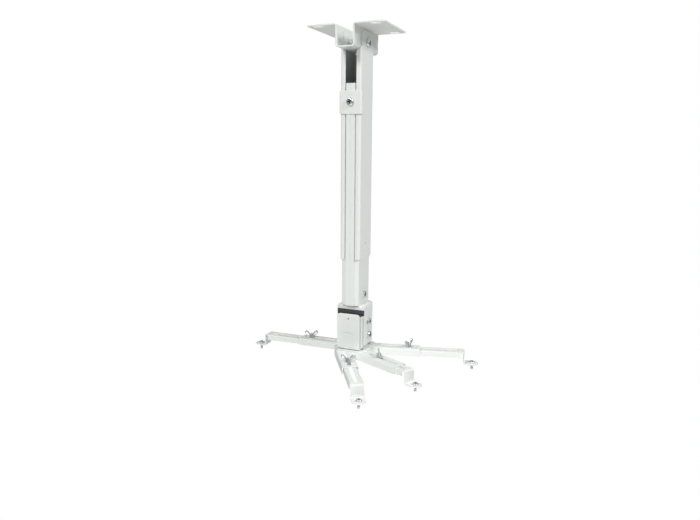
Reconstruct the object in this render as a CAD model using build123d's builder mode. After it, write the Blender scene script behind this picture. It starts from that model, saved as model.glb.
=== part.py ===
from build123d import *
import math
import os
from typing import NamedTuple

os.makedirs("parts", exist_ok=True)


# Frame: millimetres, +Z up, origin at the middle of the ceiling bracket's top face,
# +X to the right and -Y to the front, where the columns' slot and the head's plate face.

# Fasteners: pan heads with a cross recess, hexagon and square nuts
class Fastener(NamedTuple):
    shank_radius: float
    head_radius: float
    head_height: float
    nut_flats: float
    nut_height: float


M4 = Fastener(shank_radius=2.0, head_radius=4.0, head_height=2.6, nut_flats=7.0, nut_height=3.2)
M5 = Fastener(shank_radius=2.5, head_radius=4.75, head_height=3.1, nut_flats=8.0, nut_height=4.0)
M6 = Fastener(shank_radius=3.0, head_radius=5.6, head_height=3.7, nut_flats=10.0, nut_height=5.0)
M8 = Fastener(shank_radius=4.0, head_radius=6.5, head_height=5.3, nut_flats=13.0, nut_height=6.5)
thread_end = 1.5
neck_step = 0.6
recess_width = 1.2
recess_share = 0.62
recess_depth = 1.5
head_round_share = 0.6
turning_fit = 0.06
bolt_clearance = 0.2
thread_fit = 0.04

# Ceiling bracket
bracket_width = 113.0
bracket_depth = 95.0
bracket_sheet = 2.0
bracket_corner = 3.0
trough_height = 31.0
flange_bend = 1.5
trough_bend = 2.6
trough_slit_width = 1.2
trough_slit_gap = 0.35
trough_slit_drop = 7.5
trough_slit_rise = 4.0
ceiling_slot_length = 16.0
ceiling_slot_width = 9.0
ceiling_slot_pitch_x = 83.0
ceiling_slot_pitch_y = 80.0

# Outer column
outer_width = 31.0
outer_depth = 48.5
column_wall = 1.5
outer_corner = 3.0
outer_slot = 16.5
outer_length = 320.0
outer_top_drop = 6.0
ear_gap = 0.15
ear_corner = 8.0
ear_pivot_drop = 20.0
lip_gap = 0.9
stop_hole_radius = 1.8
stop_hole_rise = 22.0

# Inner column
inner_length = 320.0
inner_top_drop = 76.0
slide_gap = 0.5
inner_corner = 2.5
band_gap = 1.6
seam_width = 0.6
seam_depth = 0.4

# Clamp collar
collar_height = 31.8
collar_top_drop = 10.2
collar_sheet = 1.2
collar_side = 9.0
collar_gap = 0.3
collar_bend = 1.2
collar_dimple_radius = 1.5
collar_dimple_edge = 6.75
collar_dimple_rise = 5.0
clamp_screw_drop = 14.9

# Column saddle
saddle_sheet = 2.0
saddle_depth = 30.0
saddle_height = 38.0
saddle_gap = 0.2
saddle_bend = 1.5
saddle_screw_rise = 14.0
saddle_bolt_pitch = 16.0

# Head yoke and friction block
head_sheet = 2.0
yoke_width = 43.0
yoke_depth = 35.0
yoke_height = 62.5
yoke_bend = 1.0
yoke_corner = 3.0
yoke_lip_height = 6.6
tilt_pivot_drop = 49.0
tilt_lock_radius = 21.4
tilt_range = 10.0
tilt_slot_margin = 1.5
tilt_slot_clearance = 0.35
block_height = 18.5
block_inset = 0.5
block_edge = 1.0
block_gap = 0.2
block_thread = 7.0
block_hole_margin = 2.0
apron_height = 5.6
apron_tab_height = 8.4
apron_wall = 1.0

# Tilt bracket
tilt_gap = 0.3
tilt_bend = 1.5
tilt_base_drop = 67.0
tilt_side_drop = 16.6
front_plate_reach = 28.6
front_plate_width = 36.0
front_plate_drop = 11.9
front_plate_corner = 5.0
fold_gap = 1.6
front_hole_radius = 1.5
front_hole_drop = 7.4
front_slot_length = 13.0
front_slot_width = 4.0
front_slot_depth = 0.7
front_slot_drop = 30.2
relief_radius = 1.9

# Swivel and hub
swivel_washer_radius = 17.0
swivel_washer_height = 1.0
hub_sheet = 2.5
hub_corner = 11.5
arm_pivot_pitch = 30.0
countersink_depth = 2.0

# Arms
arm_width = 24.0
arm_height = 11.0
arm_sheet = 1.5
arm_bend = 1.0
arm_reach = 82.0
arm_gap = 0.1
arm_slot_width = 6.0
arm_slot_start = 24.0
arm_slot_stop = 74.0

# Legs
leg_gap = 0.5
leg_top_gap = 0.3
leg_length = 93.0
leg_height = 8.5
leg_bend = 1.0
leg_slot_width = 5.8
leg_slot_inner = 7.0
leg_slot_outer = 10.0
leg_wall_setback = 6.0
foot_drop = 18.1
foot_reach = 11.5
foot_width = 19.0
foot_bend = 1.2
foot_screw_reach = 9.0

# Wing screws
wing_span = 21.0
wing_rise = 11.5
wing_sheet = 2.2
wing_tip_radius = 2.8
wing_root_radius = 2.4
wing_boss_radius = 4.3
wing_boss_height = 6.5
wing_neck_radius = 3.4
wing_nut_gap = 0.3


class Arm(NamedTuple):
    """One arm: its pivot's corner of the hub, its heading from +X, the places of its wing screw and
    of its leg's drop along it, and how far the wing screw is turned."""

    name: str
    side_x: int
    side_y: int
    heading: float
    wing_reach: float
    drop_reach: float
    wing_turn: float


ARMS = [
    Arm("front_left", -1, -1, heading=-59.0, wing_reach=62.0, drop_reach=141.5, wing_turn=15.0),
    Arm("front_right", 1, -1, heading=-26.0, wing_reach=40.0, drop_reach=101.0, wing_turn=108.0),
    Arm("right", 1, 1, heading=14.0, wing_reach=64.0, drop_reach=149.5, wing_turn=80.0),
    Arm("left", -1, 1, heading=-178.5, wing_reach=66.0, drop_reach=146.0, wing_turn=20.0),
]

# Places worked out from the sizes above
trough_width = outer_width - 2 * column_wall - 2 * ear_gap
column_top = -outer_top_drop
column_foot = column_top - outer_length
lip_top = -trough_height - lip_gap
ear_half = outer_depth / 2 - outer_corner
inner_top = -inner_top_drop
head_top = inner_top - inner_length
inner_width = outer_width - 2 * column_wall - 2 * slide_gap
inner_back = outer_depth / 2 - column_wall - slide_gap
band_width = outer_slot - 2 * band_gap
collar_seat = -outer_depth / 2 - collar_gap
collar_top = inner_top - collar_top_drop
clamp_screw_level = collar_top - clamp_screw_drop
collar_width = outer_width + 2 * collar_gap + 2 * collar_sheet
saddle_width = inner_width - 2 * column_wall - 2 * saddle_gap
saddle_screw_level = head_top + saddle_screw_rise
yoke_underside = head_top - head_sheet
tilt_pivot_level = head_top - tilt_pivot_drop
tilt_lock_level = tilt_pivot_level + tilt_lock_radius
tilt_width = yoke_width - 2 * head_sheet - 2 * tilt_gap
tilt_inside = tilt_width - 2 * head_sheet
tilt_base = head_top - tilt_base_drop
tilt_side_top = head_top - tilt_side_drop
front_plate_top = head_top - front_plate_drop
hub_top = tilt_base - swivel_washer_height
hub_under = hub_top - hub_sheet
arm_top = hub_under - arm_gap
leg_top = arm_top - arm_sheet - leg_top_gap
leg_width = arm_width - 2 * arm_sheet - 2 * leg_gap
foot_top = leg_top - foot_drop
clamp_nut_top = leg_top - arm_sheet - wing_nut_gap


def save(piece: BuildPart, name: str):
    """Label a finished piece and write it to its own file."""
    piece.part.label = name
    export_step(piece.part, f"parts/{name}.step")


def folded(points, bend, sheet):
    """In the sketch that is open: the section of a folded sheet, from the corner points of its middle
    line and the radius inside each fold."""
    inside = bend if isinstance(bend, (list, tuple)) else [bend] * (len(points) - 2)
    with BuildLine() as middle:
        FilletPolyline(*points, radius=[radius + sheet / 2 for radius in inside])
    trace(middle.line, line_width=sheet)


def channel(half_width, top, bottom):
    """Corner points of an upside-down U section, both legs the same length."""
    return [(-half_width, bottom), (-half_width, top), (half_width, top), (half_width, bottom)]


def facing(x, y, z, direction):
    """Plane at a point, its normal along the direction that a fastener's head faces."""
    return Plane(origin=(x, y, z), z_dir=direction)


def pan_screws(name, size, seats, shank_length, neck_length=0.0):
    """Pan-head screws, one on each seat: the head stands on the seat, the shank goes the other way, and
    a neck a little thicker than the shank may come first."""
    with BuildPart() as screws:
        for seat in seats:
            with BuildSketch(seat):
                Circle(size.head_radius)
            extrude(amount=size.head_height)
            rim = screws.edges(Select.LAST).sort_by(Axis(seat.origin, seat.z_dir))[-1]
            fillet(rim, radius=size.head_height * head_round_share)
            with BuildSketch(seat):
                Circle(size.shank_radius)
            extrude(amount=-shank_length)
            if neck_length > 0:
                with BuildSketch(seat):
                    Circle(size.shank_radius + neck_step)
                extrude(amount=-neck_length)
            with BuildSketch(seat.offset(size.head_height)):
                Rectangle(2 * size.head_radius * recess_share, recess_width)
                Rectangle(recess_width, 2 * size.head_radius * recess_share)
            extrude(amount=-recess_depth, mode=Mode.SUBTRACT)
    save(screws, name)


def nuts(name, size, seats, bore_gap, sides=6, turn=0.0):
    """Nuts, one on each seat, standing along the seat's normal."""
    with BuildPart() as group:
        with BuildSketch(*seats):
            RegularPolygon(size.nut_flats / 2, sides, major_radius=False, rotation=turn)
            Circle(size.shank_radius + bore_gap, mode=Mode.SUBTRACT)
        extrude(amount=size.nut_height)
    save(group, name)


def mirrored_seats(x, y, z, outward=True):
    """The two seats at +x and -x, facing away from the middle or towards it."""
    sign = 1 if outward else -1
    return [facing(side * x, y, z, (side * sign, 0, 0)) for side in (1, -1)]


# Ceiling bracket: two flanges and the trough folded down between them, slit just before each ear
with BuildPart() as ceiling_bracket:
    half_flange = bracket_width / 2
    half_trough = (trough_width - bracket_sheet) / 2
    flange_middle = -bracket_sheet / 2
    trough_middle = -trough_height + bracket_sheet / 2
    with BuildSketch(Plane.XZ):
        folded(
            [
                (-half_flange, flange_middle),
                (-half_trough, flange_middle),
                (-half_trough, trough_middle),
                (half_trough, trough_middle),
                (half_trough, flange_middle),
                (half_flange, flange_middle),
            ],
            [flange_bend, trough_bend, trough_bend, flange_bend],
            bracket_sheet,
        )
    extrude(amount=bracket_depth / 2, both=True)
    corners = ceiling_bracket.edges().filter_by(Axis.Z).group_by(SortBy.DISTANCE)[-1]
    fillet(corners, radius=bracket_corner)
    with BuildSketch(Plane.XY):
        with GridLocations(ceiling_slot_pitch_x, ceiling_slot_pitch_y, 2, 2):
            SlotOverall(ceiling_slot_length, ceiling_slot_width)
    extrude(amount=-bracket_sheet, mode=Mode.SUBTRACT)
    with BuildSketch(Plane.YZ):
        with Locations((0, -ear_pivot_drop)):
            Circle(M6.shank_radius + bolt_clearance)
        slit_middle = -(ear_half + trough_slit_gap + trough_slit_width / 2)
        slit_bottom = -trough_height + trough_slit_rise
        with Locations((slit_middle, (slit_bottom - trough_slit_drop) / 2)):
            Rectangle(trough_slit_width, -trough_slit_drop - slit_bottom)
    extrude(amount=trough_width, both=True, mode=Mode.SUBTRACT)
save(ceiling_bracket, "ceiling_bracket")

# Column pivot: a screw through each ear into a nut inside the trough
trough_inside = trough_width / 2 - bracket_sheet
ear_grip = outer_width / 2 - trough_inside
pan_screws(
    "column_pivot_screws",
    M6,
    mirrored_seats(outer_width / 2, 0, -ear_pivot_drop),
    ear_grip + M6.nut_height + thread_end,
)
nuts(
    "column_pivot_nuts",
    M6,
    mirrored_seats(trough_inside, 0, -ear_pivot_drop, outward=False),
    thread_fit,
    turn=30.0,
)

# Outer column: a C-channel, open to the front between two lips, with an ear on each side at the top
with BuildPart() as outer_column:
    with BuildSketch(Plane.XY.offset(column_foot)):
        RectangleRounded(outer_width, outer_depth, outer_corner)
        RectangleRounded(
            outer_width - 2 * column_wall,
            outer_depth - 2 * column_wall,
            outer_corner - column_wall,
            mode=Mode.SUBTRACT,
        )
        with Locations((0, -outer_depth / 2)):
            Rectangle(outer_slot, 4 * column_wall, mode=Mode.SUBTRACT)
    extrude(amount=outer_length)
    with BuildSketch(Plane.YZ):
        with Locations((0, (column_top + lip_top) / 2)):
            Rectangle(outer_depth, column_top - lip_top)
        with BuildLine():
            FilletPolyline(
                (-ear_half, lip_top),
                (-ear_half, column_top),
                (ear_half, column_top),
                (ear_half, lip_top),
                radius=ear_corner,
            )
            Line((ear_half, lip_top), (-ear_half, lip_top))
        make_face(mode=Mode.SUBTRACT)
    extrude(amount=outer_width, both=True, mode=Mode.SUBTRACT)
    with BuildSketch(Plane.XZ):
        with Locations((0, (column_top + lip_top) / 2)):
            Rectangle(outer_width - 2 * column_wall, column_top - lip_top)
    extrude(amount=outer_depth, both=True, mode=Mode.SUBTRACT)
    with BuildSketch(Plane.YZ):
        with Locations((0, -ear_pivot_drop)):
            Circle(M6.shank_radius + turning_fit)
        with Locations((0, column_foot + stop_hole_rise)):
            Circle(stop_hole_radius)
    extrude(amount=outer_width, both=True, mode=Mode.SUBTRACT)
save(outer_column, "outer_column")

# Inner column: a closed section with a raised band on the front and a shallow seam down its middle
with BuildPart() as inner_column:
    shoulder = -inner_back
    half_inner = inner_width / 2
    half_band = band_width / 2
    with BuildSketch(Plane.XY.offset(head_top)):
        with BuildLine():
            FilletPolyline(
                (-half_inner, inner_back),
                (-half_inner, shoulder),
                (-half_band, shoulder),
                (-half_band, collar_seat),
                (half_band, collar_seat),
                (half_band, shoulder),
                (half_inner, shoulder),
                (half_inner, inner_back),
                radius=[inner_corner, inner_corner, 0, 0, 0, 0, inner_corner, inner_corner],
                close=True,
            )
        make_face()
        with BuildLine():
            Polyline(
                (-half_inner + column_wall, inner_back - column_wall),
                (-half_inner + column_wall, shoulder + column_wall),
                (-half_band + column_wall, shoulder + column_wall),
                (-half_band + column_wall, collar_seat + column_wall),
                (half_band - column_wall, collar_seat + column_wall),
                (half_band - column_wall, shoulder + column_wall),
                (half_inner - column_wall, shoulder + column_wall),
                (half_inner - column_wall, inner_back - column_wall),
                close=True,
            )
        make_face(mode=Mode.SUBTRACT)
        with Locations((0, collar_seat)):
            Rectangle(seam_width, 2 * seam_depth, mode=Mode.SUBTRACT)
    extrude(amount=inner_length)
    with BuildSketch(Plane.XZ):
        with Locations((0, clamp_screw_level)):
            Circle(M6.shank_radius + bolt_clearance)
    extrude(amount=outer_depth - inner_back, mode=Mode.SUBTRACT)
    with BuildSketch(Plane.YZ):
        with Locations((0, saddle_screw_level)):
            Circle(M5.shank_radius + bolt_clearance)
    extrude(amount=inner_width, both=True, mode=Mode.SUBTRACT)
save(inner_column, "inner_column")

# Clamp collar: a U-clip round the outer column's front, pulled tight by one screw
with BuildPart() as clamp_collar:
    half_collar = (collar_width - collar_sheet) / 2
    collar_middle = collar_seat - collar_sheet / 2
    collar_back = -outer_depth / 2 + collar_side
    with BuildSketch(Plane.XY.offset(collar_top - collar_height)):
        folded(
            [
                (-half_collar, collar_back),
                (-half_collar, collar_middle),
                (half_collar, collar_middle),
                (half_collar, collar_back),
            ],
            collar_bend,
            collar_sheet,
        )
    extrude(amount=collar_height)
    with BuildSketch(Plane.XZ):
        with Locations((0, clamp_screw_level)):
            Circle(M6.shank_radius + bolt_clearance)
    extrude(amount=outer_depth, mode=Mode.SUBTRACT)
    with BuildSketch(Plane.YZ):
        with Locations((collar_back - collar_dimple_edge, clamp_screw_level + collar_dimple_rise)):
            Circle(collar_dimple_radius)
    extrude(amount=collar_width, both=True, mode=Mode.SUBTRACT)
save(clamp_collar, "clamp_collar")

pan_screws(
    "clamp_screw",
    M6,
    [facing(0, collar_seat - collar_sheet, clamp_screw_level, (0, -1, 0))],
    collar_sheet + column_wall + M6.nut_height + thread_end,
)
nuts(
    "clamp_nut",
    M6,
    [facing(0, collar_seat + column_wall, clamp_screw_level, (0, 1, 0))],
    thread_fit,
    sides=4,
    turn=45.0,
)

# Column saddle: a U-bracket on the yoke that stands up inside the inner column's foot
with BuildPart() as column_saddle:
    half_saddle = (saddle_width - saddle_sheet) / 2
    saddle_floor = head_top + saddle_sheet / 2
    with BuildSketch(Plane.XZ):
        folded(channel(half_saddle, saddle_floor, head_top + saddle_height), saddle_bend, saddle_sheet)
    extrude(amount=saddle_depth / 2, both=True)
    with BuildSketch(Plane.YZ):
        with Locations((0, saddle_screw_level)):
            Circle(M5.shank_radius + bolt_clearance)
    extrude(amount=saddle_width, both=True, mode=Mode.SUBTRACT)
    with BuildSketch(Plane.XY.offset(head_top)):
        with GridLocations(0, saddle_bolt_pitch, 1, 2):
            Circle(M5.shank_radius + bolt_clearance)
    extrude(amount=saddle_sheet, mode=Mode.SUBTRACT)
save(column_saddle, "column_saddle")

saddle_inside = saddle_width / 2 - saddle_sheet
pan_screws(
    "saddle_screws",
    M5,
    mirrored_seats(inner_width / 2, 0, saddle_screw_level),
    inner_width / 2 - saddle_inside + M5.nut_height + thread_end,
)
nuts(
    "saddle_nuts",
    M5,
    mirrored_seats(saddle_inside, 0, saddle_screw_level, outward=False),
    thread_fit,
)
saddle_bolt_seats = [
    facing(0, side * saddle_bolt_pitch / 2, head_top + saddle_sheet, (0, 0, 1)) for side in (1, -1)
]
saddle_bolt_length = saddle_sheet + head_sheet + block_thread
pan_screws("saddle_bolts", M5, saddle_bolt_seats, saddle_bolt_length)

# Head yoke: an inverted U with a short lip folded down across its front, and in each side a pivot hole
# and an arc slot for the lock screw
sweep_angle = tilt_range + tilt_slot_margin
lock_arc = CenterArc((0, tilt_pivot_level), tilt_lock_radius, 90 - sweep_angle, 2 * sweep_angle)
with BuildPart() as head_yoke:
    half_yoke = (yoke_width - head_sheet) / 2
    with BuildSketch(Plane.XZ):
        folded(
            channel(half_yoke, head_top - head_sheet / 2, head_top - yoke_height),
            yoke_bend,
            head_sheet,
        )
    extrude(amount=yoke_depth / 2, both=True)
    fillet(head_yoke.edges().filter_by(Axis.X).group_by(Axis.Z)[0], radius=yoke_corner)
    fold_width = yoke_width - 2 * (head_sheet + yoke_bend)
    lip_middle = -(yoke_depth + head_sheet) / 2
    lip_bottom = head_top - yoke_lip_height
    lip_straight = yoke_lip_height - head_sheet - yoke_bend
    with BuildSketch(Plane.XY.offset(head_top)):
        with Locations((0, -yoke_depth / 2)):
            Rectangle(fold_width, 2 * yoke_bend)
    extrude(amount=-head_sheet, mode=Mode.SUBTRACT)
    with BuildSketch(Plane.YZ):
        folded(
            [
                (lip_middle, lip_bottom),
                (lip_middle, head_top - head_sheet / 2),
                (0, head_top - head_sheet / 2),
            ],
            yoke_bend,
            head_sheet,
        )
    extrude(amount=fold_width / 2, both=True)
    with BuildSketch(Plane.XZ.offset(yoke_depth / 2)):
        with Locations((0, lip_bottom + lip_straight / 2)):
            Rectangle(yoke_width, lip_straight)
    extrude(amount=head_sheet)
    with BuildSketch(Plane.YZ):
        with Locations((0, tilt_pivot_level)):
            Circle(M6.shank_radius + turning_fit)
        SlotArc(lock_arc, 2 * (M5.shank_radius + tilt_slot_clearance))
    extrude(amount=yoke_width, both=True, mode=Mode.SUBTRACT)
    with BuildSketch(Plane.XY.offset(head_top)):
        with GridLocations(0, saddle_bolt_pitch, 1, 2):
            Circle(M5.shank_radius + bolt_clearance)
    extrude(amount=-head_sheet, mode=Mode.SUBTRACT)
save(head_yoke, "head_yoke")

# Friction block: black moulded block bolted under the yoke's top; below the lip it comes forward to an
# apron that covers the front edges of the yoke's sides
with BuildPart() as friction_block:
    block_width = tilt_inside - 2 * tilt_gap
    block_back = yoke_depth / 2 - block_inset
    block_front = -yoke_depth / 2 + yoke_bend + block_gap
    apron_back = -yoke_depth / 2 - block_gap
    apron_top = head_top - yoke_lip_height - block_gap
    with BuildSketch(Plane.XY.offset(yoke_underside)):
        with Locations((0, (block_back + block_front) / 2)):
            Rectangle(block_width, block_back - block_front)
    extrude(amount=-block_height)
    with BuildSketch(Plane.XY.offset(apron_top)):
        with Locations((0, (block_front + apron_back) / 2)):
            Rectangle(block_width, block_front - apron_back)
    extrude(amount=yoke_underside - block_height - apron_top)
    with BuildSketch(Plane.XY.offset(apron_top)):
        with Locations((0, apron_back - apron_wall / 2)):
            Rectangle(yoke_width, apron_wall)
    extrude(amount=-apron_height)
    with BuildSketch(Plane.XY.offset(apron_top)):
        with GridLocations(yoke_width - head_sheet, 0, 2, 1):
            with Locations((0, apron_back - apron_wall / 2)):
                Rectangle(head_sheet, apron_wall)
    extrude(amount=-apron_tab_height)
    chamfer(friction_block.faces().sort_by(Axis.Z)[0].edges(), length=block_edge)
    with BuildSketch(Plane.XY.offset(yoke_underside)):
        with GridLocations(0, saddle_bolt_pitch, 1, 2):
            Circle(M5.shank_radius + thread_fit)
    extrude(amount=-block_thread - block_hole_margin, mode=Mode.SUBTRACT)
save(friction_block, "friction_block")

# Tilt bracket: base, two sides and a front plate, all folded up from one sheet
with BuildPart() as tilt_bracket:
    half_tilt = (tilt_width - head_sheet) / 2
    base_middle = tilt_base + head_sheet / 2
    front_middle = -front_plate_reach + head_sheet / 2
    side_front = -front_plate_reach + head_sheet + fold_gap
    side_length = yoke_depth / 2 - side_front
    with BuildSketch(Plane.XZ.offset(-yoke_depth / 2)):
        folded(channel(half_tilt, base_middle, tilt_side_top), tilt_bend, head_sheet)
    extrude(amount=side_length)
    with BuildSketch(Plane.YZ):
        folded(
            [(front_middle, front_plate_top), (front_middle, base_middle), (0, base_middle)],
            tilt_bend,
            head_sheet,
        )
    extrude(amount=front_plate_width / 2, both=True)
    front_top = tilt_bracket.faces().filter_by(Axis.Z).sort_by(Axis.Z)[-1]
    fillet(front_top.edges().filter_by(Axis.Y), radius=front_plate_corner)
    with BuildSketch(Plane.XZ):
        with Locations((0, front_plate_top - front_hole_drop)):
            Circle(front_hole_radius)
    extrude(amount=2 * front_plate_reach, mode=Mode.SUBTRACT)
    with BuildSketch(Plane.XZ.offset(front_plate_reach)):
        with Locations((0, front_plate_top - front_slot_drop)):
            SlotOverall(front_slot_length, front_slot_width)
    extrude(amount=-front_slot_depth, mode=Mode.SUBTRACT)
    with BuildSketch(Plane.XY.offset(tilt_base)):
        with GridLocations(2 * half_tilt, 0, 2, 1):
            with Locations((0, side_front)):
                Circle(relief_radius)
        Circle(M8.shank_radius + bolt_clearance)
    extrude(amount=2 * head_sheet, mode=Mode.SUBTRACT)
    with BuildSketch(Plane.YZ):
        with Locations((0, tilt_pivot_level)):
            Circle(M6.shank_radius + bolt_clearance)
        with Locations((0, tilt_lock_level)):
            Circle(M5.shank_radius + bolt_clearance)
    extrude(amount=tilt_width, both=True, mode=Mode.SUBTRACT)
save(tilt_bracket, "tilt_bracket")

tilt_grip = (yoke_width - tilt_inside) / 2
for tilt_name, tilt_size, tilt_level in (
    ("tilt_pivot", M6, tilt_pivot_level),
    ("tilt_lock", M5, tilt_lock_level),
):
    pan_screws(
        f"{tilt_name}_screws",
        tilt_size,
        mirrored_seats(yoke_width / 2, 0, tilt_level),
        tilt_grip + tilt_size.nut_height + thread_end,
    )
    nuts(
        f"{tilt_name}_nuts",
        tilt_size,
        mirrored_seats(tilt_inside / 2, 0, tilt_level, outward=False),
        thread_fit,
    )

# Swivel: one bolt through the base and the hub, a black washer between them
swivel_bolt_length = head_sheet + swivel_washer_height + hub_sheet + M8.nut_height + thread_end
with BuildPart() as swivel_bolt:
    with BuildSketch(Plane.XY.offset(tilt_base + head_sheet)):
        RegularPolygon(M8.nut_flats / 2, 6, major_radius=False)
    extrude(amount=M8.head_height)
    with BuildSketch(Plane.XY.offset(tilt_base + head_sheet)):
        Circle(M8.shank_radius)
    extrude(amount=-swivel_bolt_length)
save(swivel_bolt, "swivel_bolt")

with BuildPart() as swivel_washer:
    with BuildSketch(Plane.XY.offset(hub_top)):
        Circle(swivel_washer_radius)
        Circle(M8.shank_radius + bolt_clearance, mode=Mode.SUBTRACT)
    extrude(amount=swivel_washer_height)
save(swivel_washer, "swivel_washer")

nuts("swivel_nut", M8, [facing(0, 0, hub_under, (0, 0, -1))], thread_fit)

# Hub plate: turns on the swivel bolt and carries an arm at each corner
with BuildPart() as hub_plate:
    with BuildSketch(Plane.XY.offset(hub_under)):
        RectangleRounded(arm_pivot_pitch + arm_width, arm_pivot_pitch + arm_width, hub_corner)
        Circle(M8.shank_radius + turning_fit, mode=Mode.SUBTRACT)
    extrude(amount=hub_sheet)
    with Locations(Plane.XY.offset(hub_top)):
        with GridLocations(arm_pivot_pitch, arm_pivot_pitch, 2, 2):
            CounterSinkHole(
                M6.shank_radius + bolt_clearance,
                M6.shank_radius + bolt_clearance + countersink_depth,
                counter_sink_angle=90,
            )
save(hub_plate, "hub_plate")

# Arm pivots: countersunk screws, flush with the hub's top, each with a nut inside its arm
arm_nut_top = arm_top - arm_sheet - arm_gap
with BuildPart() as arm_pivot_screws:
    with BuildSketch(Plane.XY.offset(hub_top)):
        with GridLocations(arm_pivot_pitch, arm_pivot_pitch, 2, 2):
            Circle(M6.shank_radius)
    extrude(amount=-(hub_top - arm_nut_top + M6.nut_height + thread_end))
    with Locations(Plane.XY.offset(hub_top - countersink_depth / 2)):
        with GridLocations(arm_pivot_pitch, arm_pivot_pitch, 2, 2):
            Cone(M6.shank_radius, M6.shank_radius + countersink_depth, countersink_depth)
    with BuildSketch(Plane.XY.offset(hub_top)):
        with GridLocations(arm_pivot_pitch, arm_pivot_pitch, 2, 2):
            Rectangle(2 * M6.shank_radius, recess_width)
            Rectangle(recess_width, 2 * M6.shank_radius)
    extrude(amount=-recess_depth, mode=Mode.SUBTRACT)
save(arm_pivot_screws, "arm_pivot_screws")

half_pitch = arm_pivot_pitch / 2
nuts(
    "arm_pivot_nuts",
    M6,
    [facing(arm.side_x * half_pitch, arm.side_y * half_pitch, arm_nut_top, (0, 0, -1)) for arm in ARMS],
    thread_fit,
)


def arm_frame(arm: Arm, level: float):
    """Plane level with the given height, at the arm's pivot, its X axis along the arm."""
    angle = math.radians(arm.heading)
    return Plane(
        origin=(arm.side_x * half_pitch, arm.side_y * half_pitch, level),
        x_dir=(math.cos(angle), math.sin(angle), 0),
        z_dir=(0, 0, 1),
    )


def across(frame: Plane, reach: float):
    """Plane square to the arm at a distance along it, seen along the arm, its Y axis up."""
    return Plane(
        origin=frame.origin + frame.x_dir * reach,
        x_dir=frame.y_dir,
        z_dir=frame.x_dir,
    )


def along(frame: Plane):
    """Upright plane through the arm's middle, its X axis along the arm and its Y axis up."""
    return Plane(origin=frame.origin, x_dir=frame.x_dir, z_dir=-frame.y_dir)


def make_arm(arm: Arm):
    """Arm: slotted channel whose round inner end turns on the hub's pivot screw."""
    frame = arm_frame(arm, arm_top)
    with BuildPart() as piece:
        with BuildSketch(across(frame, 0)):
            folded(
                channel((arm_width - arm_sheet) / 2, -arm_sheet / 2, -arm_height),
                arm_bend,
                arm_sheet,
            )
        extrude(amount=arm_reach)
        with BuildSketch(frame):
            Circle(arm_width / 2)
        extrude(amount=-arm_sheet)
        with BuildSketch(frame):
            Circle(M6.shank_radius + turning_fit)
            with Locations(((arm_slot_start + arm_slot_stop) / 2, 0)):
                SlotCenterToCenter(arm_slot_stop - arm_slot_start, arm_slot_width)
        extrude(amount=-arm_sheet, mode=Mode.SUBTRACT)
    save(piece, f"arm_{arm.name}")


def make_leg(arm: Arm):
    """Leg: slotted channel inside the arm, folded down and out again to a round foot tab."""
    frame = arm_frame(arm, leg_top)
    inner_end = arm.drop_reach - leg_length
    wall_end = arm.drop_reach - leg_wall_setback
    foot = arm.drop_reach + foot_reach
    drop_middle = arm.drop_reach - arm_sheet / 2
    with BuildPart() as piece:
        with BuildSketch(across(frame, inner_end)):
            folded(
                channel((leg_width - arm_sheet) / 2, -arm_sheet / 2, -leg_height),
                leg_bend,
                arm_sheet,
            )
        extrude(amount=wall_end - inner_end)
        with BuildSketch(along(frame)):
            folded(
                [
                    (wall_end - leg_wall_setback, -arm_sheet / 2),
                    (drop_middle, -arm_sheet / 2),
                    (drop_middle, -foot_drop - arm_sheet / 2),
                    (foot, -foot_drop - arm_sheet / 2),
                ],
                foot_bend,
                arm_sheet,
            )
        extrude(amount=foot_width / 2, both=True)
        with BuildSketch(frame.offset(-foot_drop)):
            with Locations((foot, 0)):
                Circle(foot_width / 2)
        extrude(amount=-arm_sheet)
        with BuildSketch(frame.offset(-foot_drop)):
            with Locations((foot, 0)):
                Circle(M4.shank_radius + neck_step + bolt_clearance)
        extrude(amount=-arm_sheet, mode=Mode.SUBTRACT)
        slot_start = inner_end + leg_slot_inner
        slot_stop = arm.drop_reach - leg_slot_outer
        with BuildSketch(frame):
            with Locations(((slot_start + slot_stop) / 2, 0)):
                SlotCenterToCenter(slot_stop - slot_start, leg_slot_width)
        extrude(amount=-arm_sheet, mode=Mode.SUBTRACT)
    save(piece, f"leg_{arm.name}")


def make_foot_screw(arm: Arm):
    """Foot screw: pan head on the tab, its shank free below it."""
    foot = arm_frame(arm, foot_top)
    seat = Plane(origin=foot.origin + foot.x_dir * (arm.drop_reach + foot_reach), z_dir=(0, 0, 1))
    pan_screws(f"foot_screw_{arm.name}", M4, [seat], arm_sheet + foot_screw_reach, neck_length=arm_sheet)


def make_wing_screw(arm: Arm):
    """Wing screw: two ears on a tapered boss, its shank down through both slots into the square nut."""
    level = arm_frame(arm, arm_top)
    post = level.origin + level.x_dir * arm.wing_reach
    turn = math.radians(arm.wing_turn)
    seat = Plane(origin=post, x_dir=(math.cos(turn), math.sin(turn), 0), z_dir=(0, 0, 1))
    upright = Plane(origin=seat.origin, x_dir=seat.x_dir, z_dir=-seat.y_dir)
    shank = arm_top - clamp_nut_top + M5.nut_height + thread_end
    tip = wing_span / 2 - wing_tip_radius
    with BuildPart() as piece:
        with BuildSketch(upright):
            with BuildLine():
                Polyline(
                    (0, 0),
                    (wing_boss_radius, 0),
                    (wing_neck_radius, wing_boss_height),
                    (0, wing_boss_height),
                    close=True,
                )
            make_face()
        revolve(axis=Axis(seat.origin, seat.z_dir))
        for side in (1, -1):
            with BuildSketch(upright):
                with Locations((side * tip, wing_rise - wing_tip_radius)):
                    Circle(wing_tip_radius)
                with Locations((side * wing_root_radius, wing_root_radius + wing_sheet / 2)):
                    Circle(wing_root_radius)
                make_hull()
            extrude(amount=wing_sheet / 2, both=True)
        with BuildSketch(seat):
            Circle(M5.shank_radius)
        extrude(amount=-shank)
    save(piece, f"wing_screw_{arm.name}")


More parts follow.
